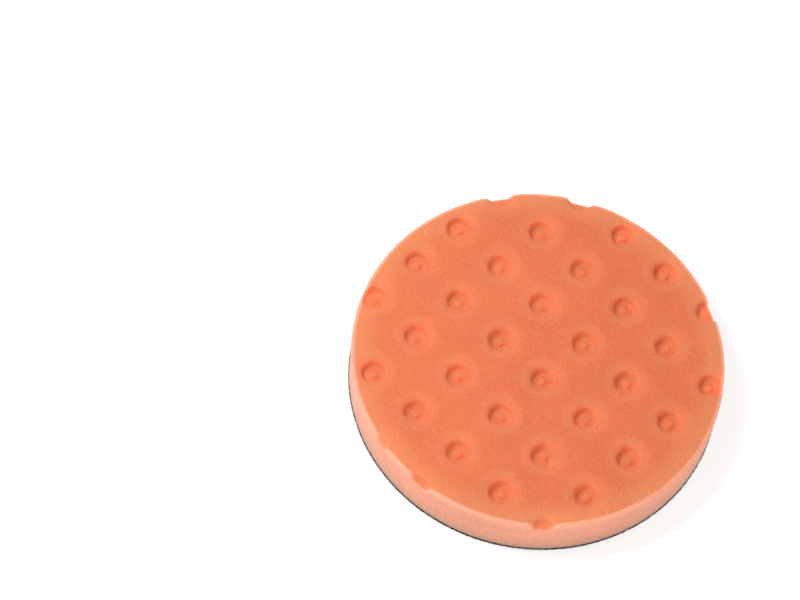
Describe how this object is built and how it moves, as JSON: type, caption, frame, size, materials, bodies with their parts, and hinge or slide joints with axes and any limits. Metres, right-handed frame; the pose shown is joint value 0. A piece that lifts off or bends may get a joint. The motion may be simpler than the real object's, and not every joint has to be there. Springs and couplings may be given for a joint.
{
  "type": "foam polishing pad",
  "caption": "Round foam polishing pad: a grid of shallow pockets, each with a low central nub, in its face, and a hook-and-loop backing underneath.",
  "frame": {"origin": "centre of the loop backing's outer face, which the pad lies on", "axes": "+Z through the pad's thickness, from the loop backing to the polishing face; +X along a row of pockets"},
  "size_m": [0.165, 0.165, 0.025],
  "materials": {
    "foam": "matte",
    "film": "matte",
    "backing": "matte",
    "pile": "matte"
  },
  "bodies": {
    "root": {"foam_disc": "foam", "adhesive_film": "film", "backing_cloth": "backing", "loop_pile": "pile"}
  },
  "joints": []
}
